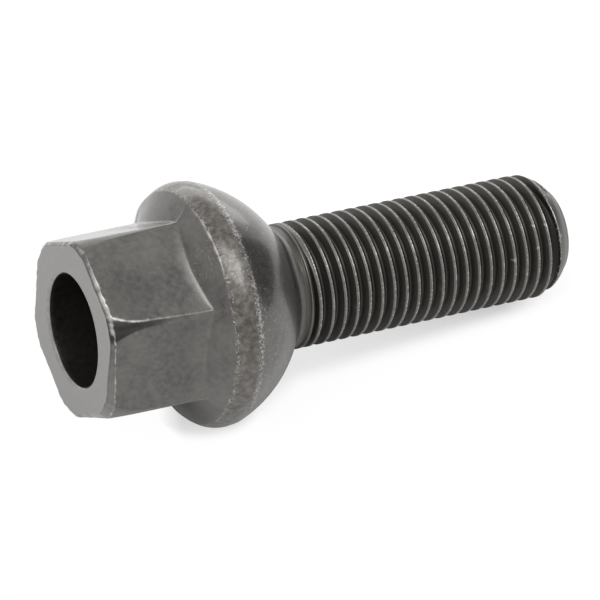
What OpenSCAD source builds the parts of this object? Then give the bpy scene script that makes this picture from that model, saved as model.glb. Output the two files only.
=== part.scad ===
// Wheel bolt, forged in one piece: a hollow hexagon head, a flange with a ball seat,
// a short neck and a rolled thread. It stands on its head. The centre of the head's
// end face is the origin and +Z runs along the bolt to the tip of the thread.

/* [Hexagon] */
// Width across the flats
hex_af = 19; // [18:0.1:21]
// Length of a flat at its middle, from the end face to the flange
flat_len = 10.75; // [9:0.05:13]
// How far the corners are cut back at the end face
corner_cut = 0.82; // [0.5:0.02:1.1]
// What is left of that cut where the short corner chamfer turns into the long taper
corner_taper = 0.3; // [0.1:0.02:0.45]
// Length of the short corner chamfer
chamfer_len = 2.3; // [1.2:0.1:3.5]
// Bevel of the flats at the end face
flat_bevel = 0.3; // [0.1:0.05:0.5]

/* [Hollow] */
// Bore of the blind hollow in the head
hollow_d = 12.3; // [10:0.1:13]
// Depth of the hollow's straight wall
hollow_depth = 13; // [8:0.1:14]
// Full angle of the hollow's pointed floor
floor_angle = 150; // [118:1:170]
// Bevel of the hollow's mouth
mouth_bevel = 0.25; // [0.1:0.05:0.5]

/* [Flange and seat] */
// Largest radius of the flange
flange_r = 13.4; // [13:0.05:13.8]
// Slope of the flange's front, from square to the bolt
front_slope = 33.5; // [28:0.5:38]
// Roundness of the flange's rim, as a radius
rim_r = 3; // [2:0.1:4]
// How far the rim's front edge lies inside the largest radius
rim_inset = 0.7; // [0.4:0.05:1]
// Lean of the rim's back, up to the ball seat
rim_lean = 7; // [3:0.5:10]
// Radius of the ball seat
seat_r = 14; // [14:0.05:14.5]
// From the end of the flats to the middle of the ball
seat_rise = 0.65; // [0.3:0.05:1]
// Height of the ridges that run on from the corners over the flange's front
ridge_h = 0.14; // [0.05:0.01:0.25]

/* [Neck and thread] */
// Diameter of the plain neck under the seat
neck_d = 13.4; // [12.6:0.1:13.6]
// Fillet between the ball seat and the neck
neck_fillet = 2; // [1:0.1:3]
// Length of the plain neck between the fillet and the thread
neck_len = 0.1; // [0.1:0.1:6]
// Outside diameter of the thread
thread_d = 13.8; // [13.7:0.05:14.4]
// Pitch of the thread
pitch = 1.5; // [1:0.25:2]
// Length of the thread, with its tip
thread_len = 33.2; // [15:0.1:60]
// Depth of the first groove, as a share of a whole groove
first_groove = 0.35; // [0.1:0.05:1]
// Diameter of the tip's end face
tip_d = 9.7; // [9:0.1:11.8]
// Length of the tip's cone
tip_len = 2.7; // [1:0.1:3.5]
// Where along its length the tip's cone turns steeper, as a share
tip_turn = 0.58; // [0.5:0.02:0.7]
// How much of its taper the cone has done there, as a share
tip_taper = 0.4; // [0.3:0.02:0.48]

/* [Hidden] */
$fn = 96;

// a margin by which cuts run past the faces that they open
past = 1;
hex_sides = 6;
side_angle = 360 / hex_sides;
half_side = side_angle / 2;

// the hexagon's corner, whole and as cut at the end face
hex_corner_r = hex_af / 2 / cos(half_side);
cut_corner_r = hex_corner_r - corner_cut;
taper_corner_r = hex_corner_r - corner_taper;

// the flange's front is a cone, which crosses the middle of each flat at flat_len
front_rise = tan(front_slope);
function front_z(r) = flat_len + (r - hex_af / 2) * front_rise;

// the rim is a round bead, which starts at its front edge and leans in at its back;
// its foot lies just under the front cone
rim_ring_r = flange_r - rim_r;
rim_front_r = flange_r - rim_inset;
rim_front_z = front_z(rim_front_r);
rim_z = rim_front_z + sqrt(rim_r * rim_r - pow(rim_front_r - rim_ring_r, 2));
rim_foot_r = rim_ring_r + rim_r * sin(front_slope);
rim_foot_z = rim_z - rim_r * cos(front_slope);
rim_back_r = rim_ring_r + rim_r * cos(rim_lean);
rim_back_z = rim_z + rim_r * sin(rim_lean);

// the ball seat is a sphere about a point on the axis
seat_z = flat_len + seat_rise;

// the fillet under the ball touches the sphere and the neck; the line between the two
// centres passes through the point where it touches the ball
neck_r = neck_d / 2;
fillet_ring_r = neck_r + neck_fillet;
fillet_z = seat_z + sqrt(pow(seat_r + neck_fillet, 2) - fillet_ring_r * fillet_ring_r);

// a sixty-degree thread, rolled a little under its nominal size: the crests are a
// fifth of a pitch wide and the roots rather less
thread_r = thread_d / 2;
thread_z = fillet_z + neck_len;
bolt_len = thread_z + thread_len;
crest_w = 0.2 * pitch;
root_w = 0.175 * pitch;
flank_w = (pitch - crest_w - root_w) / 2;
groove_depth = flank_w / tan(30);
// the first groove is a shallow one, close to the thread's start
first_z = thread_z + pitch / 4;
groove_count = 1 + floor((bolt_len - first_z) / pitch);
function groove_z(k) = first_z + k * pitch;
function depth(k) = groove_depth * (k == 0 ? first_groove : 1);

// Six flat sides to the depth of the flange, with the corners turned down at the end
// face: a short chamfer and then a long taper, which runs out at the flange.
module hexagon() {
    taper_end = front_z(hex_corner_r);
    intersection() {
        cylinder(r = hex_corner_r, h = rim_z, $fn = hex_sides);
        rotate_extrude()
            polygon([
                [0, 0],
                [cut_corner_r, 0],
                [taper_corner_r, chamfer_len],
                [hex_corner_r, taper_end],
                [hex_corner_r + past, taper_end],
                [hex_corner_r + past, rim_z],
                [0, rim_z]
            ]);
    }
}

// The bevels that take the edge off the flats at the end face
module flat_bevels() {
    side = 2 * hex_corner_r;
    for (k = [0 : hex_sides - 1])
        rotate([0, 0, half_side + k * side_angle])
            translate([hex_af / 2 - flat_bevel, 0, 0])
                rotate([0, 45, 0])
                    translate([0, -side / 2, -side / 2])
                        cube([side, side, side]);
}

// Section of the flange: behind the front cone, inside the ball, and inside the rim,
// whose back leans in until it meets the ball
module flange_section() {
    reach = 2 * seat_r;
    intersection() {
        translate([0, seat_z])
            circle(r = seat_r);
        polygon([
            [0, front_z(0)],
            [reach, front_z(reach)],
            [reach, seat_z + reach],
            [0, seat_z + reach]
        ]);
        union() {
            translate([rim_ring_r, rim_z])
                circle(r = rim_r);
            polygon([
                [0, front_z(0) - past],
                [rim_foot_r, rim_foot_z],
                [rim_back_r, rim_back_z],
                [rim_back_r - reach * sin(rim_lean), rim_back_z + reach * cos(rim_lean)],
                [0, rim_back_z + reach * cos(rim_lean)]
            ]);
        }
    }
}

// Section of the fillet that leads from the ball down to the neck
module fillet_section() {
    difference() {
        polygon([
            [0, seat_z],
            [fillet_ring_r, fillet_z],
            [0, fillet_z]
        ]);
        translate([fillet_ring_r, fillet_z])
            circle(r = neck_fillet);
    }
}

// Section of the rod: the neck, a bevelled step to the thread, and the tip's cone in two
// slopes, with the thread's grooves one pitch apart
module rod_section() {
    step = abs(thread_r - neck_r);
    tip_r = tip_d / 2;
    turn_r = thread_r - tip_taper * (thread_r - tip_r);
    difference() {
        polygon([
            [0, seat_z],
            [neck_r, seat_z],
            [neck_r, thread_z - step],
            [thread_r, thread_z],
            [thread_r, bolt_len - tip_len],
            [turn_r, bolt_len - (1 - tip_turn) * tip_len],
            [tip_r, bolt_len],
            [0, bolt_len]
        ]);
        for (k = [0 : groove_count - 1])
            groove(groove_z(k), depth(k));
    }
}

// One groove of the thread, cut to a depth, with its mouth open past the crests
module groove(z, deep) {
    out = past;
    mouth = root_w / 2 + (deep + out) * tan(30);
    floor_w = root_w / 2;
    polygon([
        [thread_r - deep, z - floor_w],
        [thread_r - deep, z + floor_w],
        [thread_r + out, z + mouth],
        [thread_r + out, z - mouth]
    ]);
}

// The turned body: flange, ball seat, neck and thread in one revolve
module shank() {
    rotate_extrude()
        intersection() {
            square([2 * seat_r, bolt_len]);
            union() {
                flange_section();
                fillet_section();
                rod_section();
            }
        }
}

// Ridges that run on from the hexagon's corners and fade out at the rim: the edges of
// a six-sided pyramid that stands a little proud of the flange's front
module corner_ridges() {
    reach = 4 * seat_r;
    fade_r = rim_front_r - ridge_h;
    proud_z = front_z(hex_corner_r) - ridge_h / cos(front_slope);
    edge_rise = (front_z(fade_r) - proud_z) / (fade_r - hex_corner_r);
    apex_z = proud_z - hex_corner_r * edge_rise;
    side_tilt = atan(edge_rise / cos(half_side));
    intersection() {
        cylinder(r = rim_front_r, h = rim_z);
        intersection_for(k = [0 : hex_sides - 1])
            rotate([0, 0, half_side + k * side_angle])
                translate([0, 0, apex_z])
                    rotate([0, -side_tilt, 0])
                        translate([-reach / 2, -reach / 2, 0])
                            cube([reach, reach, reach]);
    }
}

// The blind hollow, with a bevelled mouth and a shallow pointed floor
module hollow() {
    hollow_r = hollow_d / 2;
    rotate_extrude()
        polygon([
            [0, -past],
            [hollow_r + mouth_bevel + past, -past],
            [hollow_r, mouth_bevel],
            [hollow_r, hollow_depth],
            [0, hollow_depth + hollow_r / tan(floor_angle / 2)]
        ]);
}

module wheel_bolt() {
    color([0.27, 0.26, 0.25])
        difference() {
            union() {
                difference() {
                    hexagon();
                    flat_bevels();
                }
                corner_ridges();
                shank();
            }
            hollow();
        }
}

wheel_bolt();
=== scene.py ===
import bpy
import numpy as np
from mathutils import Matrix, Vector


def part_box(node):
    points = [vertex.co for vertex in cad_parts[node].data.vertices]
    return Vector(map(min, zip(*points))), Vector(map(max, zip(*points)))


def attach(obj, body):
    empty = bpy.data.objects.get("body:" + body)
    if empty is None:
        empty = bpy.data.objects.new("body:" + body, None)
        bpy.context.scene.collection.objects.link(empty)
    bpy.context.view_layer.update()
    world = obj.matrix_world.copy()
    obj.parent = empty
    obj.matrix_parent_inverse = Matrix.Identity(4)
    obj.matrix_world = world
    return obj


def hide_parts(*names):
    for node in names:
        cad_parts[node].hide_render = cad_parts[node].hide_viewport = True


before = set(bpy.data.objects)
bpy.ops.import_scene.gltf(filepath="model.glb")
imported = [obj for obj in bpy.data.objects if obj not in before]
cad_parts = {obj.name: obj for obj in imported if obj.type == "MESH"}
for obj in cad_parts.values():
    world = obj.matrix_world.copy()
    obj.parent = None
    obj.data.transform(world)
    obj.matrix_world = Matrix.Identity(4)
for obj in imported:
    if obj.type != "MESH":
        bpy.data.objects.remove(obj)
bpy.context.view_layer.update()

# The wheel bolt: one piece of steel, forged hot to a hollow hexagon head with a flange.
# The end face and the ball seat are turned, the thread is rolled between dies, and the
# whole bolt is phosphated and oiled. Nothing is fixed to it. It stands on its end face.
MM = 0.001
inside_box = 0.004
bolt_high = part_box("wheel_bolt")[1]
flange_r = bolt_high.x / MM - inside_box
bolt_len = bolt_high.z / MM

# the hexagon: half its width across the flats, the arc of its corners, and the two lines to
# which the corners are turned down, each with the height and radius where it ends
flat_r = 9.5
corner_round = 0.3
cut_at_end = 10.15
chamfer_end = (2.3, 10.67)
taper_end = (11.7, 10.97)
cut_softness = 0.3
border_softness = 0.09

# columns of the mesh in half a side of the hexagon, on its turned corner and on the border
# between them, and half the border's width in degrees, which is never more than a share of
# the turned corner's
half_columns = 20
corner_columns = 4
border_columns = 5
border_deg = 1.3
border_share = 0.55
flat_crowding = 1.5
column_count = 12 * half_columns
first_angle = -180.0


def soft_min(a, b, k):
    """The smaller of two lengths, with the change from one to the other rounded over k:
    the minimum less a quarter of k times the squared share by which they are closer than k."""
    closer = np.maximum(k - np.abs(a - b), 0) / k
    return np.minimum(a, b) - closer * closer * k / 4


def soft_step(x):
    """0 below 0, 1 above 1 and three x squared less two x cubed between them."""
    x = np.clip(x, 0, 1)
    return x * x * (3 - 2 * x)


def uneven(angle, seed, low, high):
    """An uneven line, about -1 to 1: cosine waves, from low to high of them in a turn, all of
    one strength and each with its own random start, added up."""
    waves = np.arange(low, high + 1)
    start = np.random.default_rng(seed).uniform(0, 2 * np.pi, len(waves))
    return np.cos(angle[..., None] * waves + start).sum(-1) / np.sqrt(2 * len(waves))


def cut_radius(z):
    """Radius to which the corners are turned down, at a height: the lower of two straight
    lines, a short steep chamfer and a long flat taper, softly joined."""
    steep = cut_at_end + (chamfer_end[1] - cut_at_end) * z / chamfer_end[0]
    slope = (taper_end[1] - chamfer_end[1]) / (taper_end[0] - chamfer_end[0])
    return soft_min(steep, chamfer_end[1] + slope * (z - chamfer_end[0]), cut_softness)


def hexagon_radius(from_corner):
    """Radius of the hexagon at an angle from its nearest corner: half the width across the
    flats over the cosine of the angle from the flat's middle, and a small arc at the corner."""
    ring = (flat_r - corner_round) / np.cos(np.pi / 6)
    side = ring * np.sin(from_corner)
    arc = ring * np.cos(from_corner) + np.sqrt(np.maximum(corner_round**2 - side**2, 0))
    flat = flat_r / np.cos(np.pi / 6 - from_corner)
    return np.where(from_corner < arc_angle, arc, flat)


# half the angle of the corner's arc, where it meets the flats
arc_angle = np.pi / 6 - np.arctan((flat_r - corner_round) * np.tan(np.pi / 6) / flat_r)


def column_angles(height, even):
    """Angles of the mesh columns for rows at the given heights. Of the columns from a corner
    to the middle of a flat, the first lie on the turned corner, the next on its border and the
    rest on the flat, closer together near the border. Rows with even = 1 have them all alike."""
    height, even = np.broadcast_arrays(np.atleast_1d(height), np.atleast_1d(even))
    cut = np.degrees(np.pi / 6 - np.arccos(np.minimum(flat_r / cut_radius(height), 1)))
    cut = np.maximum(cut, np.degrees(arc_angle))[:, None]
    band = np.minimum(border_deg, border_share * cut)
    flat_column = corner_columns + border_columns
    n = np.arange(half_columns + 1)
    inner = (cut - band) * n / corner_columns
    border = cut - band + 2 * band * (n - corner_columns) / border_columns
    reach = np.clip((n - flat_column) / (half_columns - flat_column), 0, 1) ** flat_crowding
    outer = cut + band + (30 - cut - band) * reach
    half = np.where(n <= corner_columns, inner, np.where(n <= flat_column, border, outer))
    half = half + (30 / half_columns * n - half) * even[:, None]
    column = np.arange(column_count)
    corner = (column + half_columns) // (2 * half_columns)
    step = column - 2 * half_columns * corner
    angle = first_angle + 60 * corner + np.sign(step) * half[:, np.abs(step)]
    return np.radians(angle)


def from_corner_angle(angle):
    """Angle to the nearest corner of the hexagon, which has one at every sixth of a turn."""
    sixth = np.pi / 3
    return np.abs((angle + sixth / 2) % sixth - sixth / 2)


def head_radius(angle, z):
    """Radius of the hexagon with its corners turned down."""
    return soft_min(hexagon_radius(from_corner_angle(angle)), cut_radius(z), border_softness)


def near(x, place, reach, power=2):
    """1 at a place and less on both sides of it: the exponential of minus the distance over
    the reach, raised to the power."""
    return np.exp(-(((x - place) / reach) ** power))


def ramp(x, start, length):
    """0 up to the start, then softly up to 1 over the length."""
    return soft_step((x - start) / length)


# Rows of the surface, from the floor of the hollow out over the end face, up the hexagon and
# the flange to the tip of the thread. Each block holds radius, height, angle and the marks.
# Marks that lie at a place round the bolt have it in degrees from the corner at +X, which is
# the one nearest to the camera: the top is near -90 and the bottom near 90.
blocks = []
mark_names = (
    "worn_edge",
    "specks",
    "faced_end",
    "turned_seat",
    "rough_band",
    "rolled_thread",
    "grime",
    "rubbed_thin",
)


def add_rows(radius, height, angle, **marks):
    """Keeps a block of rows; a mark that isn't given is 0 there."""
    radius, height, angle = np.broadcast_arrays(radius, height, angle)
    values = [np.broadcast_to(marks.get(name, 0.0), radius.shape) for name in mark_names]
    blocks.append(np.stack([radius, height, angle, *values]))


# the hollow: a shallow pointed floor, a straight wall that ends just short of the bevelled
# mouth, and the mouth
hollow_r = 6.15
hollow_depth = 13.0
mouth_bevel = 0.25
edge_gap = 0.04
floor_half_angle = np.radians(75)
floor_rise = hollow_r / np.tan(floor_half_angle)
even_angle = column_angles(np.zeros(1), np.ones(1))
floor_r = np.array([1.2, 3.0, 4.8, 5.9, 6.1])[:, None]
add_rows(floor_r, hollow_depth + floor_rise * (1 - floor_r / hollow_r), even_angle)
wall_z = np.array([12.8, 9.0, 4.0, 0.9, mouth_bevel + edge_gap])[:, None]
# the wall is darkened
add_rows(hollow_r, wall_z, even_angle, grime=0.55)
mouth = np.array([0.1, 0.4, 0.7, 0.92])[:, None]
add_rows(
    hollow_r + mouth_bevel * mouth,
    mouth_bevel * (1 - mouth),
    even_angle,
    faced_end=mouth,
    worn_edge=0.3,
    rubbed_thin=0.6,
)

# the end face, faced flat, out to the bevel of the flats, with the bevel's least width, how
# uneven it is and how much wider it is worn. The face starts just outside the mouth.
bevel_least = 0.4
bevel_uneven = 0.08
bevel_more = 0.28
face_start = 0.03


def bevel_width(angle):
    """Width of the bevel at an angle: uneven all round, and worn much wider along one flat."""
    degrees = np.degrees(angle)
    worn = ramp(degrees, 4, 40) * (1 - ramp(degrees, 85, 30))
    return bevel_least + bevel_uneven * uneven(angle, 3, 5, 70) + bevel_more * worn


face_share = np.array([0.0, 0.02, 0.3, 0.65, 0.95, 0.98, 1.0])[:, None]
face_even = np.array([1.0, 0.95, 0.6, 0.2, 0.0, 0.0, 0.0])
face_angle = column_angles(np.zeros(len(face_even)), face_even)
face_out = head_radius(face_angle, 0.0) - bevel_width(face_angle)
face_in = hollow_r + mouth_bevel + face_start
face_r = face_in + (face_out - face_in) * face_share
# a painted shade line along the face's outer edge, beside the bevel
face_rim = np.array([0.0, 0.0, 0.0, 0.0, 0.0, 0.35, 0.8])[:, None]
face_edge_shade = np.clip(face_rim * (0.6 + 0.4 * uneven(face_angle, 13, 2, 20)), 0, 1)
add_rows(face_r, 0.0, face_angle, faced_end=1 - face_edge_shade, grime=0.75 * face_edge_shade)

# the bevel and the flats, up to where the fillet at their foot starts. The sizes are those of
# the flange's sloped front, which ends the flats, and then of the fillet. The bevel's rows are
# drawn for a width of bevel_drawn, and below spread_from the flats' rows lie level.
flat_len = 10.75
front_slope = np.radians(33.5)
rim_front = 12.7
ridge_h = 0.13
ridge_half = 0.4
rim_push_h = 0.17
foot_swell = 0.1
foot_reach = 1.15
foot_height = 0.22
foot_turn = np.radians(29)
foot_column_z = 11.0
bevel_drawn = 0.3
bevel_blend = 0.0025
spread_from = 7


def front_height(r, angle):
    """Height of the flange's sloped front, a straight cone with three small changes: a narrow
    ridge stands out towards the end face, from each corner out to the rim where it ends, the
    rim is pushed the same way beside each corner, and the cone lies a little further back
    along the foot of the flats."""
    off = from_corner_angle(angle)
    fade = np.clip((rim_front - r) / (rim_front - flat_r / np.cos(np.pi / 6)), 0, 1)
    ridge = ridge_h * fade * np.maximum(1 - off * r / ridge_half, 0) ** 1.3
    push = rim_push_h * near(off, 0, np.radians(9)) * ramp(r, 11.3, 1.3)
    from_flat = r - flat_r / np.cos(np.pi / 6 - off)
    swell = foot_swell * near(from_flat, 0, 0.9) * ramp(off, np.radians(4), np.radians(14))
    return flat_len + (r - flat_r) * np.tan(front_slope) - ridge - push + swell


bevel_rows = np.array([0.12, 0.35, 0.6, 0.85, 1.05, 1.35])
flat_rows = np.concatenate([
    [0.5, 0.6, 0.7, 0.82, 0.95, 1.1, 1.25, 1.42, 1.6, 1.8, 2.0, 2.2, 2.4, 2.65, 2.9, 3.25, 3.7],
    [4.3, 5.0, 5.8, 6.6, 7.4, 8.2, 9.0],
])
low_rows = np.concatenate([bevel_drawn * bevel_rows, flat_rows])
low_angle = column_angles(low_rows, np.zeros(len(low_rows)))
low_rows = low_rows[:, None]
foot_angle = column_angles(np.array([foot_column_z]), np.zeros(1))
foot_r = head_radius(foot_angle, foot_column_z)
for _ in range(4):
    foot_z = front_height(foot_r, foot_angle)
    foot_r = head_radius(foot_angle, foot_z)
bevel = bevel_width(low_angle)
low_z = low_rows + near(low_rows, 0, 0.9) * low_rows * (bevel / bevel_drawn - 1)
spread = np.clip((low_rows - spread_from) / (flat_len - foot_reach - spread_from), 0, 1)
low_z = low_z + spread * (foot_z - flat_len)
bevel_left = bevel - low_z
bevel_left = (bevel_left + np.sqrt(bevel_left**2 + bevel_blend)) / 2
low_r = head_radius(low_angle, low_z) - bevel_left

# wear, dirt and painted shade of the flats: the turned corners' borders and the bevel's edge are
# worn bright, the turned corner itself is dark, a painted shade line runs along the end face's
# edge, and each of the three flats in view has its own dull part, which is painted shade.
# Across each corner, which_side runs from -1 to 1, so that its two borders differ.
low_deg = np.degrees(low_angle)
corner_cut = hexagon_radius(from_corner_angle(low_angle)) - cut_radius(low_z)
which_side = low_angle / np.radians(30) - np.round(low_angle / np.radians(60)) * 2
near_corner = near(low_angle, 0, np.radians(25))
border_wear = near(np.abs(corner_cut), 0, 0.13) * (0.31 - 0.23 * np.sin(np.pi * which_side))
border_wear = border_wear * (0.3 + 0.7 * near_corner) * (1 - 0.3 * ramp(low_z, 0, 10))
slow_wear = uneven(low_angle, 4, 3, 30)
fine_wear = uneven(low_angle, 14, 60, 110)
end_wear = near(low_z, 0.75 * bevel, 0.55 * bevel) * (0.72 + 0.25 * slow_wear + 0.22 * fine_wear)
end_wear = end_wear * (1 - 0.6 * ramp(bevel, 0.5, 0.2)) * (1 - 0.5 * ramp(-low_deg, 38, 6))
end_line = near(low_z, 1.03 * bevel, 0.2 * bevel) * (0.5 + 0.3 * slow_wear + 0.25 * fine_wear)
end_wear = end_wear + ramp(low_deg, 0.5, 4) * (end_line - end_wear)
end_edge_shade = near(low_z, 0, 0.07) * (0.6 + 0.4 * uneven(low_angle, 13, 2, 20))
corner_dark = ramp(corner_cut, 0, 0.1) * (1 - ramp(low_z, 2.5, 7))
corner_dark = corner_dark * (0.12 + 0.78 * near_corner)
corner_dark = corner_dark * (0.85 + 0.25 * uneven(low_angle, 15, 20, 90))
upper_painted_shade = 0.26 * near(low_deg, -22, 20) * ramp(low_z, 0, 1.5) * (1 - 0.6 * ramp(low_z, 3, 5))
lower_painted_shade = 0.12 * ramp(low_z, 5, 4) * ramp(low_deg, 0, 8) * (1 - ramp(low_deg, 45, 10))
top_painted_shade = 0.5 * ramp(low_z, 5.8, 4) * near(low_deg, -90, 26, 4)
bevel_thin = (0.14 + 0.16 * ramp(low_deg, 45, 20)) * ramp(bevel, 0.5, 0.15)
bevel_thin = bevel_thin * (1 - ramp(low_z, bevel, 0.1))
low_grime = np.maximum.reduce([corner_dark, 0.75 * end_edge_shade, upper_painted_shade + lower_painted_shade + top_painted_shade])
add_rows(
    low_r,
    low_z,
    low_angle,
    worn_edge=np.maximum(end_wear, border_wear),
    rubbed_thin=np.clip(bevel_thin, 0, 1),
    grime=np.clip(low_grime, 0, 1),
)


def bend(share, start, corner, end):
    """A point of a curve that leaves its start towards the corner and comes to its end from
    there: rest squared times start, twice share times rest times corner, share squared times
    end, where the rest is 1 less the share."""
    rest = 1 - share
    return rest**2 * start + 2 * share * rest * corner + share**2 * end


# the wide fillet at the foot of the flats, which ends in a crease
foot_share = np.array([0.0, 0.14, 0.28, 0.42, 0.56, 0.7, 0.84, 0.97])[:, None]
foot_off = from_corner_angle(foot_angle)
foot_deg = np.degrees(foot_angle)
foot_low = foot_z - foot_reach
foot_low_r = head_radius(foot_angle, foot_low)
foot_rise = foot_height * (1 - 0.7 * near(foot_off, 0, np.radians(5)))
foot_high_r = foot_r + foot_rise
foot_high = front_height(foot_high_r, foot_angle)
foot_mid = foot_high - foot_rise / np.tan(foot_turn)
foot_mid_r = head_radius(foot_angle, foot_mid)
at_corner = 0.3 * near(foot_off, 0, np.radians(0.8))
# the fillet is lightened along its middle near -28 degrees: a painted highlight
add_rows(
    bend(foot_share, foot_low_r, foot_mid_r, foot_high_r),
    bend(foot_share, foot_low, foot_mid, foot_high),
    foot_angle,
    worn_edge=at_corner,
    rubbed_thin=0.2 * np.sin(np.pi * foot_share) * near(foot_deg, -28, 21, 4),
)

# the flange's sloped front, out to the rim's front edge
rim_r = 3.0
rim_ring = flange_r - rim_r
edge_r = rim_front + 0.04 * uneven(foot_angle, 5, 3, 40)
front_share = np.array([0.03, 0.1, 0.3, 0.5, 0.7, 0.85, 0.95, 1.0])[:, None]
front_r = foot_high_r + (edge_r - foot_high_r) * front_share
# painted shade on the sloped front: at its bottom beside the hexagon, at its top and in its middle
front_bottom_shade = 0.5 * near(foot_deg, 90, 16) * (1 - 0.7 * front_share)
front_top_shade = 0.21 * near(foot_deg, -98, 28) * (1 + 0.5 * uneven(foot_angle, 16, 6, 60))
front_middle_shade = 0.15 * near(foot_deg, 0, 35)
line_worn = 0.3 + 0.7 * near(foot_deg, -36, 20, 4)
front_worn = 0.35 * near(front_share, 1, 0.03) * line_worn
add_rows(
    front_r,
    front_height(front_r, foot_angle),
    foot_angle,
    worn_edge=np.maximum(front_worn, at_corner * (1 - front_share)),
    specks=0.045 * near(foot_deg, -26, 16),
    grime=front_middle_shade + front_top_shade + front_bottom_shade,
)

# the rim: a round bead that leans in at its back until it meets the ball. Its front edge
# follows the uneven edge of the front, climbing by edge_climb for each millimetre outwards,
# and further back the bead is regular.
edge_climb = 0.66
rim_lean = np.radians(7)
rim_start = -np.arccos((rim_front - rim_ring) / rim_r)
rim_z = flat_len + (rim_front - flat_r) * np.tan(front_slope)
rim_z = rim_z + np.sqrt(rim_r**2 - (rim_front - rim_ring) ** 2)
rim_share = np.array([0.03, 0.06, 0.09, 0.12, 0.16, 0.22, 0.33, 0.47, 0.61, 0.75, 0.88, 1.0])
rim_angle = column_angles(np.full(len(rim_share), foot_column_z), 0.6 * rim_share)
rim_share = rim_share[:, None]
rim_turn = rim_start + (rim_lean - rim_start) * rim_share
edge_off = edge_r[-1] - rim_front
edge_cone = flat_len + (edge_r[-1] - flat_r) * np.tan(front_slope)
rim_push = front_height(edge_r, foot_angle)[-1] - edge_cone
rim_slip = 1 - soft_step(rim_share * 1.6)
rim_deg = np.degrees(rim_angle)
turn_deg = np.degrees(rim_turn)
# painted light on the rim band: a highlight with bare specks near -16 degrees, painted shade near
# -29 degrees on its front part, and a lighter patch near 52 degrees
rim_specks_and_highlight = near(rim_deg, -16, 9) * near(turn_deg, -3, 13)
rim_painted_shade = near(rim_deg, -29, 11) * near(turn_deg, -30, 15)
rim_low_highlight = near(rim_deg, 52, 20) * ramp(rim_share, 0, 0.15)
rim_line = near(rim_share, 0.07, 0.05) * (0.66 + 0.3 * uneven(rim_angle, 6, 3, 60))
add_rows(
    rim_ring + rim_r * np.cos(rim_turn) + edge_off * rim_slip,
    rim_z + rim_r * np.sin(rim_turn) + (rim_push + edge_off * edge_climb) * rim_slip,
    rim_angle,
    rough_band=ramp(rim_share, 0, 0.1),
    worn_edge=rim_line * line_worn,
    specks=0.25 * near(rim_share, 0.1, 0.1) + 0.02 + 0.12 * rim_specks_and_highlight,
    rubbed_thin=0.3 * rim_specks_and_highlight + 0.09 * rim_low_highlight,
    grime=0.24 * rim_painted_shade,
)

# the rest of the rim's back, straight, to an uneven edge where the turned ball seat starts
seat_r = 14.0
seat_z = flat_len + 0.65
seat_uneven = 0.05
neck_r = 6.7
neck_fillet = 2.0
fillet_ring = neck_r + neck_fillet
neck_z = seat_z + np.sqrt((seat_r + neck_fillet) ** 2 - fillet_ring**2)
back_r = rim_ring + rim_r * np.cos(rim_lean)
back_z = rim_z + rim_r * np.sin(rim_lean)
back_step = np.linspace(0, 2, 400)
back_out = back_r - back_step * np.sin(rim_lean)
back_up = back_z + back_step * np.cos(rim_lean) - seat_z
back_len = np.interp(0, np.hypot(back_out, back_up) - seat_r, back_step)
lean_share = np.array([0.45, 0.85, 1.0])[:, None]
lean_angle = column_angles(np.full(3, foot_column_z), np.array([0.7, 0.8, 0.9]))
lean_z = back_z + back_len * np.cos(rim_lean) * lean_share
add_rows(
    back_r - back_len * np.sin(rim_lean) * lean_share,
    lean_z + seat_uneven * uneven(lean_angle, 8, 3, 60) * lean_share,
    lean_angle,
    rough_band=np.array([1.0, 0.9, 0.6])[:, None],
    specks=np.array([0.25, 0.35, 0.42])[:, None] + 0.1 * uneven(lean_angle, 9, 2, 12),
)

# the ball seat, turned smooth, from the rim's back edge to the fillet of the neck. It is darkened
# with painted shade where the fillet starts, and in a stripe beside the rim.
turn_start = np.arcsin((lean_z[-1, 0] - seat_z) / seat_r)
turn_end = np.arctan2(neck_z - seat_z, fillet_ring)
seat_share = np.concatenate([[0.014, 0.05], np.linspace(0.1, 1, 13)])[:, None]
seat_turn = turn_start + (turn_end - turn_start) * seat_share
seat_angle = np.repeat(even_angle, len(seat_share), 0)
seat_deg = np.degrees(seat_angle)
seat_edge = seat_uneven * uneven(seat_angle, 8, 3, 60) * near(seat_share, 0, 0.03)
shade_from = 0.78 + 0.05 * ramp(np.abs(seat_deg), 22, 16)
seat_shade_stripe = 0.35 * near(seat_deg, -32, 15) * near(seat_share, 0, 0.13)
add_rows(
    seat_r * np.cos(seat_turn),
    seat_z + seat_r * np.sin(seat_turn) + seat_edge,
    seat_angle,
    rough_band=0.5 * near(seat_share, 0, 0.02),
    specks=0.4 * near(seat_share, 0, 0.03) + 0.05,
    grime=0.85 * ramp(seat_share, shade_from, 0.16) + seat_shade_stripe,
    turned_seat=1.0,
)
ring_rows = sum(block.shape[1] for block in blocks)

# the shank: fillet, neck, rolled thread and coned tip. Its rows climb with the thread.
thread_r = 6.9
pitch = 1.5
crest_z = 38.07
crest_turn = np.radians(-4.99)
groove_depth = 0.815
crest_w = 0.3
root_softness = 0.22
step_z = 24.95
step_len = 0.22
ring_groove_z = 25.38
tip_len = 2.7
tip_r = 4.85
tip_turn = 0.58
tip_taper = 0.4
cone_softness = 0.3
body_softness = 0.12
# the crests are numbered up the thread; the last ridge's crest is pushed towards the tip by
# last_push, and the first groove's lower side by first_push
first_crest = -9
last_crest = 13
last_ridge = 12
last_push = 0.5
first_push = 0.45


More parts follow.
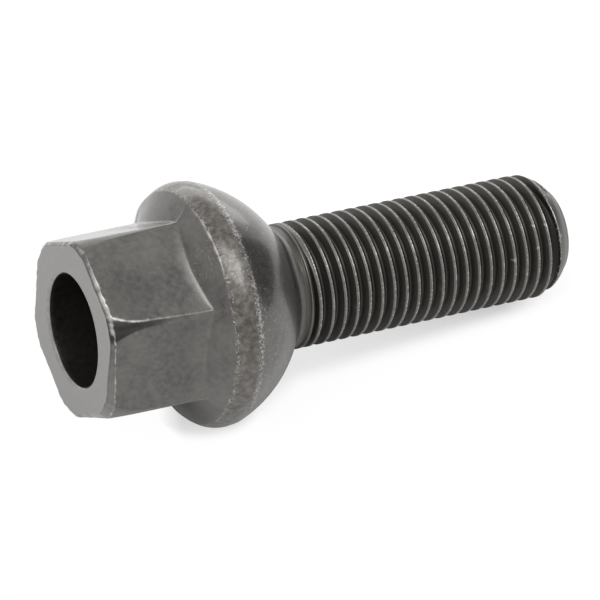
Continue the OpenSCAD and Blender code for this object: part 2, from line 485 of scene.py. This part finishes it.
def body_radius(z):
    """Radius of the shank before its thread is rolled: the fillet's arc, the neck, a small
    step up to the thread, and the tip's cone, which is the lower of two straight lines."""
    drop = np.clip(neck_z - z, 0, None)
    fillet = fillet_ring - np.sqrt(np.maximum(neck_fillet**2 - drop**2, 0))
    step = (thread_r - neck_r) * ramp(z, step_z, step_len)
    taper = (thread_r - tip_r) / tip_len
    flat_cone = thread_r - (z - (bolt_len - tip_len)) * taper * tip_taper / tip_turn
    steep_cone = tip_r + (bolt_len - z) * taper * (1 - tip_taper) / (1 - tip_turn)
    cone = soft_min(flat_cone, steep_cone, cone_softness)
    return soft_min(fillet + step, cone, body_softness)


def helix_phase(z, angle):
    """Number of the crest that passes a point, whole on a crest and a half in a groove: the
    height over the pitch, less the share of a turn, for a right-hand thread."""
    return (z - crest_z) / pitch - (angle - crest_turn) / (2 * np.pi)


def groove_cut(phase, angle):
    """Depth of the thread at a point: none on the crest, a straight flank of thirty degrees,
    and a rounded root. The first groove sinks in over a third of a turn and is narrower for
    most of its turn. The last ridge is pushed towards the tip along half of its turn, and
    there has no groove behind it."""
    degrees = np.degrees(angle)
    away = np.abs(phase - np.round(phase)) * pitch
    pushed = ramp(degrees, -60, 60) * (1 - ramp(degrees, 110, 60))
    from_last = (phase - last_ridge) * pitch
    away = np.where(np.abs(from_last) < pitch / 2, np.abs(from_last - last_push * pushed), away)
    from_first = (phase - first_crest) * pitch
    low_push = first_push * (1 - ramp(degrees, 70, 90))
    in_first = (from_first > 0) & (from_first < pitch)
    away = np.where(in_first, np.minimum(from_first - low_push, pitch - from_first), away)
    flank = np.clip((away - crest_w / 2) / np.tan(np.pi / 6), 0, None)
    cut = soft_min(flank, groove_depth, root_softness)
    travel = np.floor(phase) + (angle + np.pi) / (2 * np.pi)
    left_out = 1 - ramp(travel - first_crest, 0.26, 0.3)
    cut = cut * np.where(from_last > last_push * pushed, 1 - pushed, 1)
    return np.clip(cut - left_out * groove_depth, 0, None)


section = np.array([0.0, 0.09, 0.15, 0.19, 0.56, 0.65, 0.75, 0.85, 0.94, 1.31, 1.35, 1.41])
crests = np.arange(first_crest, last_crest)
first_rows = crest_z + pitch * first_crest + np.linspace(0, pitch, 21)[:-1]
middle_rows = (crest_z + pitch * crests[1:-2, None] + section).ravel()
end_rows = crest_z + pitch * (last_crest - 2) + np.linspace(0, 2 * pitch, 41)[:-1]
thread_rows = np.concatenate([first_rows, middle_rows, end_rows])
lead_share = np.linspace(0, 1, 9)[1:-1]
lead_start = seat_z + seat_r * np.sin(turn_end)
lead_rows = lead_start + (thread_rows[0] - lead_start) * lead_share
shank_rows = np.concatenate([lead_rows, thread_rows])
climb = np.concatenate([lead_share, np.ones(len(thread_rows))])
shank_angle = np.repeat(even_angle, len(shank_rows), 0)
shank_deg = np.degrees(shank_angle)
shank_z = shank_rows[:, None] + climb[:, None] * pitch * (shank_angle - crest_turn) / (2 * np.pi)
# rows that would climb past the tip are squeezed into a narrow band below its round
band_below = 0.2
band_height = 0.08
band_reach = 0.6
over = np.maximum(shank_z - (bolt_len - band_below), 0)
squeezed = band_height * (1 - np.exp(-over / band_reach))
shank_z = np.minimum(shank_z, bolt_len - band_below) + squeezed

# the thread, with the fold that rolling leaves along a crest, small dents, and a fine groove
# turned into the neck. What is uneven along the thread has one pattern to seven turns.
fold_depth = 0.035
dent_depth = 0.03
ring_groove_depth = 0.03
phase = helix_phase(shank_z, shank_angle)
body = body_radius(shank_z)
cut = groove_cut(phase, shank_angle)
seven_turns = (2 * np.pi * np.round(phase) + shank_angle) / 7
from_crest = (phase - np.round(phase)) * pitch
crest_near = 1 - ramp(np.abs(from_crest), 0.1, 0.12)
fold = near(from_crest, 0, 0.06) * soft_step(0.5 + uneven(seven_turns, 21, 11, 60))
dents = np.clip(uneven(seven_turns, 22, 150, 260), 0, 2) ** 2 * crest_near
has_thread = body > thread_r - 0.35
shank_r = np.minimum(body, thread_r - cut)
shank_r = shank_r - (fold_depth * fold + dent_depth * dents) * has_thread
shank_r = shank_r - ring_groove_depth * near(shank_z, ring_groove_z, 0.1)

# dings on the crests, each at its angle in degrees and its height
ding_depth = 0.06
ding_r = 0.13
crest_dings = ((15.0, 50.16), (8.5, 53.14), (-11.5, 54.55), (-13.0, 53.05), (2.0, 56.4))
ding_rim = np.zeros_like(shank_r)
for ding_angle, ding_z in crest_dings:
    ding_gap = np.hypot(thread_r * (shank_angle - np.radians(ding_angle)), shank_z - ding_z)
    ding_rim = np.maximum(ding_rim, 0.8 * near(ding_gap, 0.14, 0.09))
    shank_r = shank_r - ding_depth * near(ding_gap, 0, ding_r)

# wear and painted highlights of the shank: a bright line on each crest, with painted glints
# near -8 degrees towards the tip, a fainter painted highlight on its shoulder, the edge between
# the thread and the tip's cone, with a painted glint near -12 degrees, and a land on the neck,
# with a painted highlight on its upper side, and two lines on the neck
is_thread = ramp(shank_z, 25.0, 0.5)
crest_line = 1 - ramp(np.abs(from_crest - 0.07), 0.02, 0.09)
crest_wear_and_glint = 0.42 + 0.16 * uneven(seven_turns, 23, 30, 200)
painted_glint_side = near(shank_deg, -8, 24) * ramp(shank_z, 30, 20)
crest_wear_and_glint = crest_wear_and_glint + 0.45 * painted_glint_side * np.clip(uneven(seven_turns, 24, 90, 240), 0, 1)
crest_wear_and_glint = crest_line * crest_wear_and_glint * is_thread
on_crest = 0.36 * (1 - ramp(cut, 0, 0.05)) * is_thread
shoulder_highlight = 0.26 * near(from_crest, 0.33, 0.07) * is_thread
on_tip = np.clip((shank_z - (bolt_len - tip_len)) / 0.4, 0, 1)
cone_gap = thread_r - cut - body
cone_face = 0.4 * on_tip * ramp(cone_gap, 0, 0.08)
cone_wear_and_glint = 0.6 + 0.3 * uneven(shank_angle, 27, 5, 60) + 0.35 * near(shank_deg, -12, 24)
cone_edge = on_tip * near(cone_gap, 0.03, 0.1) * cone_wear_and_glint
land_and_highlight = near(shank_z, 24.14, 0.3, 4) * (0.22 + 0.45 * near(shank_deg, -24, 24))
neck_lines = 0.42 * near(shank_z, 25.16, 0.06) + 0.2 * near(shank_z, 24.68, 0.06)
ring_groove_shade = 0.5 * near(shank_z, ring_groove_z, 0.09)
shank_thin_and_highlight = np.maximum.reduce([on_crest, shoulder_highlight, cone_face]) + land_and_highlight + neck_lines - ring_groove_shade

# its dirt and painted shade: darker with depth in the grooves and most in the last one, partly
# dirt and partly painted shade, and painted shade on the fillet and in the neck's groove
fillet_shade_z = 23.95
last_groove = ramp(phase - last_ridge, -0.75, 0.2) * ramp(shank_deg, -70, 40)
groove_dirt_and_shade = ramp(cut, 0, 0.6) * (0.4 + 0.5 * last_groove)
fillet_shade = 0.85 * soft_step((fillet_shade_z - shank_z) / 0.3)
add_rows(
    shank_r,
    shank_z,
    shank_angle,
    rolled_thread=ramp(shank_z, 23.2, 1.2),
    worn_edge=np.clip(np.maximum.reduce([crest_wear_and_glint, cone_edge, ding_rim]), 0, 1),
    specks=0.5 * np.maximum(crest_line * is_thread, cone_edge),
    rubbed_thin=np.clip(shank_thin_and_highlight, 0, 1),
    grime=np.clip(groove_dirt_and_shade + fillet_shade + ring_groove_shade, 0, 1),
)

# the tip: a small round and the end face
tip_round = 0.12
tip_share = np.array([0.0, 0.4, 0.75, 1.0])[:, None]
tip_arc = tip_share * np.pi / 2
tip_cone_r = body_radius(bolt_len - tip_round)
add_rows(
    tip_cone_r - tip_round + tip_round * np.cos(tip_arc),
    bolt_len - tip_round + tip_round * np.sin(tip_arc),
    np.repeat(even_angle, len(tip_share), 0),
    worn_edge=np.array([0.3, 0.5, 0.3, 0.0])[:, None],
    rolled_thread=0.5,
)
end_r = np.array([4.2, 2.8, 1.3])[:, None]
add_rows(end_r, bolt_len, np.repeat(even_angle, len(end_r), 0), rolled_thread=0.5)

rows = np.concatenate(blocks, axis=1)
radius, height, angle = rows[:3]
row_count = radius.shape[0]
points = np.stack([radius * np.cos(angle), radius * np.sin(angle), height], -1).reshape(-1, 3)
floor_point = [[0, 0, hollow_depth + floor_rise]]
tip_point = [[0, 0, bolt_len]]
points = np.concatenate([points, floor_point, tip_point]) * MM
marks = [np.append(value.ravel(), [0.0, 0.0]) for value in rows[3:]]
number = np.arange(row_count * column_count).reshape(row_count, column_count)
low_left = number[:-1, :-1]
quads = np.stack([low_left, number[:-1, 1:], number[1:, 1:], number[1:, :-1]], -1).reshape(-1, 4)


def seam_quads(seam_rows):
    """Quads across the seam, from the last column to the first, for rows that are rings."""
    left = number[seam_rows, -1]
    right = number[seam_rows, 0]
    return np.stack([left[:-1], right[:-1], right[1:], left[1:]], -1)


def join_columns(left, right, left_z, right_z):
    """Triangles between two columns of points whose heights grow: each point in turn, in the
    order of height, makes one with the last points passed on the left and on the right."""
    order = np.argsort(np.concatenate([left_z[1:], right_z[1:]]), kind="stable")
    on_left = order < len(left_z) - 1
    passed_left = np.cumsum(on_left)
    passed_right = np.cumsum(~on_left)
    before_left = left[passed_left - on_left]
    before_right = right[passed_right - ~on_left]
    reached = np.where(on_left, left[passed_left], right[passed_right])
    return np.stack([before_left, before_right, reached], -1)


# The shank's rows climb by a pitch in a turn, so a row doesn't meet its own other end there:
# the seam is closed by height up to the tip's round, and row by row elsewhere.
round_row = row_count - len(end_r) - 1
climbing = slice(ring_rows - 1, round_row)
shank_seam = join_columns(
    number[climbing, -1], number[climbing, 0], height[climbing, -1], height[climbing, 0]
)
ring_seam = seam_quads(slice(0, ring_rows))
end_seam = seam_quads(slice(round_row - 1, row_count))
floor_middle = np.full(column_count, len(points) - 2)
tip_middle = np.full(column_count, len(points) - 1)
floor_fan = np.stack([np.roll(number[0], -1), number[0], floor_middle], -1)
tip_fan = np.stack([number[-1], np.roll(number[-1], -1), tip_middle], -1)
faces = np.concatenate([quads, ring_seam, end_seam]).tolist()
faces += np.concatenate([shank_seam, floor_fan, tip_fan]).tolist()

bolt_mesh = bpy.data.meshes.new("forged_bolt")
bolt_mesh.from_pydata(points.tolist(), [], faces)
for name, value in zip(mark_names, marks):
    bolt_mesh.attributes.new(name, "FLOAT", "POINT").data.foreach_set("value", value)
bolt_mesh.shade_smooth()
bolt_mesh.update()
bolt = bpy.data.objects.new("forged_bolt", bolt_mesh)
bpy.context.scene.collection.objects.link(bolt)


def plug(tree, value, socket):
    """A number or a colour goes on the socket itself, and another socket is linked to it."""
    if isinstance(value, (int, float)):
        socket.default_value = value
    elif isinstance(value, tuple):
        socket.default_value = (*value, 1.0)
    else:
        tree.links.new(value, socket)


def value_group(name, inputs, outputs):
    """A shader node group with named number inputs, each with its usual value, and outputs."""
    group = bpy.data.node_groups.new(name, "ShaderNodeTree")
    for socket, value in inputs:
        entry = group.interface.new_socket(socket, in_out="INPUT", socket_type="NodeSocketFloat")
        entry.default_value = value
    for socket in outputs:
        group.interface.new_socket(socket, in_out="OUTPUT", socket_type="NodeSocketFloat")
    source = group.nodes.new("NodeGroupInput")
    sink = group.nodes.new("NodeGroupOutput")
    return group, source, sink


def math_node(tree, operation, first, second, clamp=False):
    """One Math node between two values, each a number or a socket."""
    node = tree.nodes.new("ShaderNodeMath")
    node.operation = operation
    node.use_clamp = clamp
    plug(tree, first, node.inputs[0])
    plug(tree, second, node.inputs[1])
    return node.outputs[0]


def noise_node(tree, scale, detail, roughness=0.5):
    """Noise on Object coordinates; the scale is in waves to the metre."""
    place = tree.nodes.new("ShaderNodeTexCoord")
    noise = tree.nodes.new("ShaderNodeTexNoise")
    noise.inputs["Detail"].default_value = detail
    noise.inputs["Roughness"].default_value = roughness
    plug(tree, scale, noise.inputs["Scale"])
    tree.links.new(place.outputs["Object"], noise.inputs["Vector"])
    return noise.outputs["Fac"]


def range_node(tree, value, low, high, to_low=0.0, to_high=1.0, kind="LINEAR"):
    """Map Range, kept inside its new range."""
    node = tree.nodes.new("ShaderNodeMapRange")
    node.interpolation_type = kind
    names = ("Value", "From Min", "From Max", "To Min", "To Max")
    for name, given in zip(names, (value, low, high, to_low, to_high)):
        plug(tree, given, node.inputs[name])
    return node.outputs["Result"]


# crystals of phosphate: cloudy patches, a fine mottle and a grain for the bump
mottle_scale = 1500.0
crystals, crystals_in, crystals_out = value_group(
    "phosphate_crystals",
    [("Grain Scale", 4500.0), ("Cloud Scale", 260.0)],
    ["Clouds", "Mottle", "Grain"],
)
cloud_noise = noise_node(crystals, crystals_in.outputs["Cloud Scale"], 4)
mottle_noise = noise_node(crystals, mottle_scale, 3, 0.6)
grain_noise = noise_node(crystals, crystals_in.outputs["Grain Scale"], 2, 0.7)
crystals.links.new(cloud_noise, crystals_out.inputs["Clouds"])
crystals.links.new(mottle_noise, crystals_out.inputs["Mottle"])
crystals.links.new(grain_noise, crystals_out.inputs["Grain"])

# wear: the coating is rubbed off where a mark, raised and lowered by small spots, is strong,
# and never where there is hardly any mark
bare_from = 0.25
bare_full = 0.8
least_mark = 0.03
rubbed, rubbed_in, rubbed_out = value_group(
    "rubbed_off", [("Mark", 0.0), ("Spot Scale", 1800.0), ("Unevenness", 1.0)], ["Bare"]
)
spots = noise_node(rubbed, rubbed_in.outputs["Spot Scale"], 2, 0.6)
spots = math_node(rubbed, "SUBTRACT", spots, 0.5)
spots = math_node(rubbed, "MULTIPLY", spots, rubbed_in.outputs["Unevenness"])
spotted = math_node(rubbed, "ADD", spots, rubbed_in.outputs["Mark"])
rubbed_bare = range_node(rubbed, spotted, bare_from, bare_full)
marked = math_node(rubbed, "GREATER_THAN", rubbed_in.outputs["Mark"], least_mark)
rubbed_bare = math_node(rubbed, "MULTIPLY", rubbed_bare, marked)
rubbed.links.new(rubbed_bare, rubbed_out.inputs["Bare"])


def empty_material(name):
    """A material whose node tree has no nodes yet."""
    material = bpy.data.materials.new(name)
    material.use_nodes = True
    material.node_tree.nodes.clear()
    return material


steel = empty_material("phosphated_steel")
tree = steel.node_tree
surface = tree.nodes.new("ShaderNodeOutputMaterial")
shader = tree.nodes.new("ShaderNodeBsdfPrincipled")
tree.links.new(shader.outputs["BSDF"], surface.inputs["Surface"])


def mark_node(name):
    """The value of one of the mesh's marks."""
    node = tree.nodes.new("ShaderNodeAttribute")
    node.attribute_name = name
    return node.outputs["Fac"]


def mix_colour(share, first, second):
    """A Mix node between two colours, each given or linked."""
    node = tree.nodes.new("ShaderNodeMix")
    node.data_type = "RGBA"
    tree.links.new(share, node.inputs["Factor"])
    plug(tree, first, node.inputs["A"])
    plug(tree, second, node.inputs["B"])
    return node.outputs["Result"]


def mix_value(share, first, second):
    """First, moved towards second by a share."""
    return range_node(tree, share, 0.0, 1.0, first, second)


def group_node(group, **values):
    """A group in the steel's tree, with values for its named sockets."""
    node = tree.nodes.new("ShaderNodeGroup")
    node.node_tree = group
    for name, value in values.items():
        plug(tree, value, node.inputs[name.replace("_", " ").title()])
    return node.outputs


# where the coat is gone: in lines along the worn edges, and in specks; the lines also hold
# painted glints on the thread's crests
grain = group_node(crystals)
line_bare = group_node(rubbed, mark=mark_node("worn_edge"), spot_scale=1300.0, unevenness=0.7)
line_bare = math_node(tree, "MULTIPLY", line_bare["Bare"], 0.8)
speck_bare = group_node(rubbed, mark=mark_node("specks"), spot_scale=4200.0, unevenness=2.0)
speck_bare = math_node(tree, "MULTIPLY", speck_bare["Bare"], 0.85)
bare = math_node(tree, "MAXIMUM", line_bare, speck_bare)

# colours: the coat is a patchy grey, rougher and browner on the rim, and dark on the thread
dark_coat = (0.058, 0.055, 0.052)
pale_coat = (0.096, 0.090, 0.083)
mottled_coat = (0.125, 0.118, 0.109)
dark_band = (0.045, 0.040, 0.035)
pale_band = (0.128, 0.115, 0.103)
thread_coat = (0.056, 0.051, 0.045)
dirt_and_shade_colour = (0.013, 0.012, 0.011)
faced_steel = (0.235, 0.231, 0.224)
worn_and_lit_coat = (0.26, 0.255, 0.245)
bare_steel = (0.46, 0.45, 0.43)
clouds = range_node(tree, grain["Clouds"], 0.35, 0.65)
mottle = range_node(tree, grain["Mottle"], 0.35, 0.65)
thread_share = math_node(tree, "MULTIPLY", mark_node("rolled_thread"), 0.9)
coat = mix_colour(clouds, dark_coat, pale_coat)
coat = mix_colour(math_node(tree, "MULTIPLY", mottle, 0.6), coat, mottled_coat)
coat = mix_colour(mark_node("rough_band"), coat, mix_colour(mottle, dark_band, pale_band))
coat = mix_colour(thread_share, coat, thread_coat)
# darker where there is dirt, and with painted shade in grooves, creases and on faces it dims
coat = mix_colour(mark_node("grime"), coat, dirt_and_shade_colour)
coat = mix_colour(mark_node("faced_end"), coat, faced_steel)
# paler where the coat is rubbed thin, and with painted highlights on the fillet at the flats'
# foot, on the rim band, on the thread's shoulders and on the neck's land
coat = mix_colour(mark_node("rubbed_thin"), coat, worn_and_lit_coat)
coat = mix_colour(bare, coat, bare_steel)
tree.links.new(coat, shader.inputs["Base Color"])

# how metallic: wholly where steel shows, and nearly so under the coat
coat_metal = 0.8
dark_part_metal = 0.9
metal = mix_value(mark_node("rolled_thread"), coat_metal, dark_part_metal)
metal = mix_value(mark_node("grime"), metal, dark_part_metal)
open_steel = math_node(tree, "MAXIMUM", bare, mark_node("faced_end"))
metal = math_node(tree, "MAXIMUM", metal, open_steel, clamp=True)
metal = mix_value(mark_node("rubbed_thin"), metal, 1.0)
tree.links.new(metal, shader.inputs["Metallic"])

# the film of oil, which is nearly gone from the thread, from the dirt and painted shade, and from
# the end face
oil_full = 0.7
oil_thread = 0.05
oil_dry = 0.06
oil_rough = 0.15
oil = mix_value(mark_node("rolled_thread"), oil_full, oil_thread)
no_oil_share = math_node(tree, "MAXIMUM", mark_node("grime"), mark_node("faced_end"))
tree.links.new(mix_value(no_oil_share, oil, oil_dry), shader.inputs["Coat Weight"])
shader.inputs["Coat Roughness"].default_value = oil_rough

# how rough, and the grain of the crystals as a bump
smooth_rough = 0.27
mottle_rough = 0.36
seat_rough = 0.33
band_rough = 0.4
rough = range_node(tree, grain["Mottle"], 0.3, 0.7, smooth_rough, mottle_rough)
rough = mix_value(mark_node("turned_seat"), rough, seat_rough)
rough = mix_value(mark_node("rough_band"), rough, band_rough)
rough = mix_value(mark_node("rolled_thread"), rough, band_rough)
tree.links.new(rough, shader.inputs["Roughness"])
bump = tree.nodes.new("ShaderNodeBump")
bump.inputs["Strength"].default_value = 0.25
bump.inputs["Distance"].default_value = 0.00004
tree.links.new(grain["Grain"], bump.inputs["Height"])
tree.links.new(bump.outputs["Normal"], shader.inputs["Normal"])
bolt_mesh.materials.append(steel)

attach(bolt, "root")
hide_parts("wheel_bolt")

# The camera: where the photograph was taken from. In its picture the bolt's axis is turned
# away and tipped, and the middle of the head's end face lies at a known place and distance.
axis_turn = np.radians(25.2016)
axis_tilt = np.radians(-11.96)
focal_px = 4404.75
picture_px = 600
end_face_mm = np.array([-24.075, 3.27, 465.0517])
corner_turn = np.radians(90.18)
bolt_axis = np.array([
    np.cos(axis_turn) * np.cos(axis_tilt),
    np.cos(axis_turn) * np.sin(axis_tilt),
    np.sin(axis_turn),
])
up_side = np.array([0, -1, 0]) + bolt_axis[1] * bolt_axis
up_side = up_side / np.linalg.norm(up_side)
next_side = np.cross(bolt_axis, up_side)
corner_side = np.cos(corner_turn) * up_side + np.sin(corner_turn) * next_side
to_row = np.array([corner_side, np.cross(bolt_axis, corner_side), bolt_axis])
eye = to_row @ -end_face_mm * MM
right, down, ahead = to_row[:, 0], to_row[:, 1], to_row[:, 2]
lens = bpy.data.cameras.new("photo_camera")
lens.sensor_width = 36
lens.lens = focal_px / picture_px * lens.sensor_width
lens.clip_start = 0.01
lens.clip_end = 20
camera = bpy.data.objects.new("photo_camera", lens)
camera_turn = Matrix(np.stack([right, -down, -ahead], -1).tolist()).to_4x4()
camera.matrix_world = Matrix.Translation(eye.tolist()) @ camera_turn
bpy.context.scene.collection.objects.link(camera)
bpy.context.scene.camera = camera

# The floor: the pale table of the photograph, on which the bolt lies with its flange and the
# end of its thread. It can be seen from above only, and keeps the bolt's shadow.
dip = np.radians(9.2)
fall = np.hypot(bolt_axis[1], bolt_axis[2])
drop_angle = np.arcsin(np.sin(dip) / fall) + np.arctan2(-bolt_axis[1], bolt_axis[2])
table_down = to_row @ np.array([0, np.cos(drop_angle), np.sin(drop_angle)])
table_right = right
table_near = np.cross(table_right, -table_down)
table_near = -table_near if table_near @ ahead > 0 else table_near
rim_reach = rim_ring * np.cos(dip) + rim_z * np.sin(dip) + rim_r
tip_reach = thread_r * np.cos(dip) + (bolt_len - tip_len) * np.sin(dip)
table_depth = max(rim_reach, tip_reach) * MM
bolt_middle = np.array([0, 0, bolt_len / 2 * MM])


def stage_point(side, near_side, up):
    """A place in the studio, in metres from the middle of the bolt: to the right in the
    picture, level towards the camera, and up from the table."""
    return bolt_middle + side * table_right + near_side * table_near - up * table_down


def on_table(point):
    """The place on the table below a point."""
    return point + table_down * (table_depth - point @ table_down)


def flat_sheet(name, sheet_points):
    """An object of one square face through four points."""
    mesh = bpy.data.meshes.new(name)
    mesh.from_pydata(sheet_points.tolist(), [], [[0, 1, 2, 3]])
    sheet = bpy.data.objects.new(name, mesh)
    bpy.context.scene.collection.objects.link(sheet)
    return sheet


half_table = 1.5
square = np.array([[-1, -1], [1, -1], [1, 1], [-1, 1]])
across_table = square[:, :1] * half_table * table_right
along_table = square[:, 1:] * half_table * table_near
table = flat_sheet("table", on_table(bolt_middle) + across_table + along_table)
if table.data.polygons[0].normal.dot(table_down.tolist()) > 0:
    table.data.flip_normals()

# Its paper is matt, and for the light that it throws back on the bolt it is greyer near the point
# under the flange where the bolt touches it: a painted shadow, which the camera doesn't see. The
# gaps are in metres from that point.
paper = empty_material("white_paper")
paper_tree = paper.node_tree
touch_point = on_table(np.array([0, 0, rim_z * MM]))
paper_place = paper_tree.nodes.new("ShaderNodeTexCoord")
paper_gap = paper_tree.nodes.new("ShaderNodeVectorMath")
paper_gap.operation = "DISTANCE"
paper_gap.inputs[1].default_value = touch_point.tolist()
paper_tree.links.new(paper_place.outputs["Object"], paper_gap.inputs[0])
touch_gap = paper_gap.outputs["Value"]
paper_shadow_grey = range_node(paper_tree, touch_gap, 0.003, 0.02, 0.2, 0.56)
paper_rays = paper_tree.nodes.new("ShaderNodeLightPath")
paper_tone = paper_tree.nodes.new("ShaderNodeMix")
paper_tone.data_type = "RGBA"
paper_tree.links.new(paper_shadow_grey, paper_tone.inputs["A"])
paper_tone.inputs["B"].default_value = (0.9, 0.9, 0.9, 1)
paper_tree.links.new(paper_rays.outputs["Is Camera Ray"], paper_tone.inputs["Factor"])
paper_matt = paper_tree.nodes.new("ShaderNodeBsdfDiffuse")
paper_tree.links.new(paper_tone.outputs["Result"], paper_matt.inputs["Color"])

# directions on the paper: along the shank, and square to it towards the camera
shank_along = np.array([0, 0, 1.0]) - table_down[2] * table_down
shank_along = shank_along / np.linalg.norm(shank_along)
shank_side = np.cross(table_down, shank_along)
shank_side = shank_side if shank_side @ ahead < 0 else -shank_side


def from_touch(direction):
    """How far a place on the paper lies from the touch point, in a direction."""
    node = paper_tree.nodes.new("ShaderNodeVectorMath")
    node.operation = "DOT_PRODUCT"
    node.inputs[1].default_value = direction.tolist()
    paper_tree.links.new(paper_place.outputs["Object"], node.inputs[0])
    return math_node(paper_tree, "SUBTRACT", node.outputs["Value"], float(touch_point @ direction))


# The camera sees plain white mixed into the matt paper, which makes the shadow as pale as the
# photograph's. The white's share is least under the flange and in a strip beside the shank, which
# widens along it, which paints a deeper shadow there, and it is raised again to the left of the
# touch point, which paints the shadow out there.
open_share = 0.95
most_share = 0.98
mirrored_share = 0.1
paper_right = from_touch(table_right)
paper_along = from_touch(shank_along)
paper_near = from_touch(shank_side)
flange_share = range_node(paper_tree, touch_gap, 0.0055, 0.008, 0.40, open_share, "SMOOTHSTEP")
shadow_strip_share = range_node(paper_tree, paper_along, 0.014, 0.035, 0.66, 0.47)
past_tip = range_node(paper_tree, paper_along, 0.036, 0.040, 0.0, 0.3)
shadow_strip_share = math_node(paper_tree, "ADD", shadow_strip_share, past_tip)
strip_edge = math_node(paper_tree, "SUBTRACT", paper_along, 0.015)
strip_edge = math_node(paper_tree, "MULTIPLY", strip_edge, 0.06)
by_flange = range_node(paper_tree, paper_along, 0.005, 0.0105, 0.003, 0.0)
strip_edge = math_node(paper_tree, "ADD", strip_edge, by_flange)
beyond_edge = math_node(paper_tree, "SUBTRACT", paper_near, strip_edge)
beyond_edge = range_node(paper_tree, beyond_edge, 0.0015, 0.0046, 0.0, 1.0, "SMOOTHSTEP")
shank_share = range_node(paper_tree, beyond_edge, 0.0, 1.0, shadow_strip_share, open_share)
white_share = math_node(paper_tree, "MINIMUM", flange_share, shank_share)
for left_from, left_to, more_white in ((-0.004, 0.008, 0.12), (-0.0044, -0.0018, 0.45)):
    painted_light_left = range_node(paper_tree, paper_right, left_from, left_to, more_white, 0.0)
    white_share = math_node(paper_tree, "ADD", white_share, painted_light_left)
white_share = math_node(paper_tree, "MINIMUM", white_share, most_share)
seen = math_node(paper_tree, "MULTIPLY", paper_rays.outputs["Is Camera Ray"], white_share)
glossy_ray = paper_rays.outputs["Is Glossy Ray"]
mirrored = math_node(paper_tree, "MAXIMUM", glossy_ray, paper_rays.outputs["Is Transmission Ray"])
mirrored = math_node(paper_tree, "MULTIPLY", mirrored, mirrored_share)
seen = math_node(paper_tree, "MAXIMUM", seen, mirrored)


def mix_shaders(share, first, second):
    """The paper's Mix Shader node between two shaders."""
    node = paper_tree.nodes.new("ShaderNodeMixShader")
    paper_tree.links.new(share, node.inputs["Fac"])
    paper_tree.links.new(first, node.inputs[1])
    paper_tree.links.new(second, node.inputs[2])
    return node.outputs["Shader"]


paper_white = paper_tree.nodes.new("ShaderNodeEmission")
paper_clear = paper_tree.nodes.new("ShaderNodeBsdfTransparent")
paper_side = paper_tree.nodes.new("ShaderNodeNewGeometry")
paper_out = paper_tree.nodes.new("ShaderNodeOutputMaterial")
paper_top = mix_shaders(seen, paper_matt.outputs["BSDF"], paper_white.outputs["Emission"])
paper_both = mix_shaders(paper_side.outputs["Backfacing"], paper_top, paper_clear.outputs["BSDF"])
paper_tree.links.new(paper_both, paper_out.inputs["Surface"])
table.data.materials.append(paper)

# The light of a small photo studio: a wide soft box above the table, one behind it, a bright
# one at the left whose mirror image is left out, and the white walls of the room.


def soft_box(name, place, width, length, brightness):
    """A square lamp that looks at the middle of the bolt. The brightness is that of its face,
    where 1 is white: the power is the brightness times pi times the face's area."""
    lamp = bpy.data.lights.new(name, "AREA")
    lamp.shape = "RECTANGLE"
    lamp.size = width
    lamp.size_y = length
    lamp.energy = brightness * np.pi * width * length
    box = bpy.data.objects.new(name, lamp)
    back = place - bolt_middle
    back = back / np.linalg.norm(back)
    side = np.cross(table_near, back)
    side = side / np.linalg.norm(side)
    turn = np.stack([side, np.cross(back, side), back], -1)
    box.matrix_world = Matrix.Translation(place.tolist()) @ Matrix(turn.tolist()).to_4x4()
    box.visible_camera = False
    bpy.context.scene.collection.objects.link(box)
    return box


soft_box("box_above", stage_point(0.12, 0.23, 0.95), 1.15, 0.5, 3.1)
soft_box("box_behind", stage_point(0.0, -1.0, 0.2), 1.3, 0.5, 1.35)
fill = soft_box("fill_front", stage_point(-0.6, 0.5, 0.65), 0.5, 0.5, 11.0)
fill.visible_glossy = False

# The card: black felt on board, stood up to the right of the bolt. It is seen only in the
# gloss of the ball seat, which it darkens, as in the photograph.
card_half_width = 0.082
card_half_height = 0.067
card_side = 0.407 * table_right + 0.914 * table_near
card_across = square[:, :1] * card_half_width * card_side
card_upward = square[:, 1:] * card_half_height * table_down
card = flat_sheet("black_card", stage_point(0.183, -0.081, 0.052) + card_across - card_upward)
card.visible_camera = False
card.visible_diffuse = False
card.visible_shadow = False
felt = empty_material("black_felt")
felt_tree = felt.node_tree
felt_out = felt_tree.nodes.new("ShaderNodeOutputMaterial")
felt_matt = felt_tree.nodes.new("ShaderNodeBsdfDiffuse")
felt_matt.inputs["Color"].default_value = (0.03, 0.03, 0.03, 1)
felt_tree.links.new(felt_matt.outputs["BSDF"], felt_out.inputs["Surface"])
card.data.materials.append(felt)

# The room: walls of plain white on all sides, which also stand behind the table.
room = bpy.data.worlds.new("white_room")
room.use_nodes = True
room_tree = room.node_tree
room_tree.nodes.clear()
room_out = room_tree.nodes.new("ShaderNodeOutputWorld")
room_wall = room_tree.nodes.new("ShaderNodeBackground")
room_wall.inputs["Strength"].default_value = 1.0
room_wall.inputs["Color"].default_value = (1, 1, 1, 1)
room_tree.links.new(room_wall.outputs["Background"], room_out.inputs["Surface"])
bpy.context.scene.world = room
bpy.context.scene.view_settings.view_transform = "Standard"
